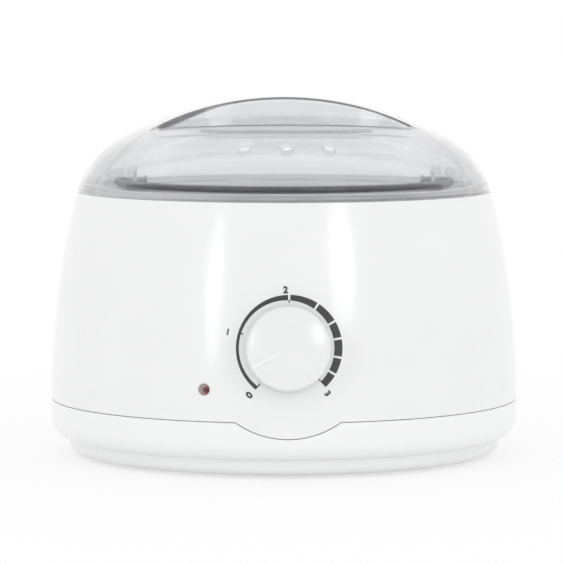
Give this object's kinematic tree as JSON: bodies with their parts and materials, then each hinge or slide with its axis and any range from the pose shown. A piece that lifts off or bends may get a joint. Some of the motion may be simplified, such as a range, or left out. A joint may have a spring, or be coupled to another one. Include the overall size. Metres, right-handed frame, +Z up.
{
  "type": "wax warmer",
  "caption": "Round white electric pot warmer with a dial on the front, a seam that dips round it, a lift-out metal pot with a bail, and a smoked clear lid with a grip.",
  "frame": {"origin": "on the axis of the round body, on the plane that the four pads stand on", "axes": "+Z up along the body's axis, -Y towards the dial at the front, +X to the right as seen from the front"},
  "size_m": [0.19, 0.2055, 0.1457],
  "materials": {
    "housing_plastic": "gloss",
    "knob_plastic": "gloss",
    "lid_clear": "gloss",
    "gland_plastic": "satin",
    "pad_rubber": "matte",
    "silicone": "satin",
    "well_aluminium": "satin",
    "pot_aluminium": "satin",
    "bail_chrome": "polished",
    "zinc_steel": "satin",
    "heater_steel": "satin",
    "contact_brass": "satin",
    "capillary_copper": "satin",
    "glass_felt": "matte",
    "switch_plastic": "matte",
    "block_plastic": "satin",
    "lens_red": "gloss",
    "lamp_glass": "gloss",
    "live_insulation": "satin",
    "switched_insulation": "satin",
    "neutral_insulation": "satin",
    "lamp_insulation": "satin"
  },
  "bodies": {
    "housing": {"upper_housing": "housing_plastic", "top_deck": "housing_plastic", "lower_housing": "housing_plastic", "housing_screws": "zinc_steel", "foot_pads": "pad_rubber", "well_gasket": "silicone", "heating_well": "well_aluminium", "well_brackets": "zinc_steel", "well_screws": "zinc_steel", "heater_band": "heater_steel", "heater_studs": "contact_brass", "clamp_screws": "zinc_steel", "clamp_nuts": "zinc_steel", "insulation_felt": "glass_felt", "sensing_bulb": "capillary_copper", "thermal_fuse": "contact_brass", "well_straps": "well_aluminium", "capillary_tube": "capillary_copper", "thermostat_plate": "zinc_steel", "thermostat_case": "switch_plastic", "thermostat_terminals": "contact_brass", "thermostat_screws": "zinc_steel", "indicator_lens": "lens_red", "neon_bulb": "lamp_glass", "lamp_holder": "block_plastic", "cord_gland": "gland_plastic", "terminal_block": "block_plastic", "block_grub_screws": "contact_brass", "block_screws": "zinc_steel", "live_wire": "live_insulation", "switched_wire": "switched_insulation", "fuse_wire": "switched_insulation", "neutral_wire": "neutral_insulation", "lamp_wires": "lamp_insulation"},
    "knob": {"knob": "knob_plastic", "thermostat_spindle": "zinc_steel"},
    "pot": {"wax_pot": "pot_aluminium", "bail_lugs": "pot_aluminium"},
    "bail": {"bail_handle": "bail_chrome"},
    "lid": {"lid": "lid_clear"}
  },
  "joints": [
    {"name": "knob_turn", "type": "hinge", "parent": "housing", "child": "knob", "pos_m": [0, -0.09375, 0.0517], "axis": [0, 0.9962, -0.0865], "range_deg": [-24, 252]},
    {"name": "pot_lift", "type": "slide", "parent": "housing", "child": "pot", "axis": [0, 0, 1], "range_m": [0, 0.075]},
    {"name": "lid_lift", "type": "slide", "parent": "pot", "child": "lid", "axis": [0, 0, 1], "range_m": [0, 0.15]},
    {"name": "bail_swing", "type": "hinge", "parent": "pot", "child": "bail", "pos_m": [0, 0, 0.1114], "axis": [-1, 0, 0], "range_deg": [0, 180]}
  ],
  "couplings": [
    {"joint": "bail_swing", "follows": "lid_lift", "rad_per_m": 10.47}
  ]
}
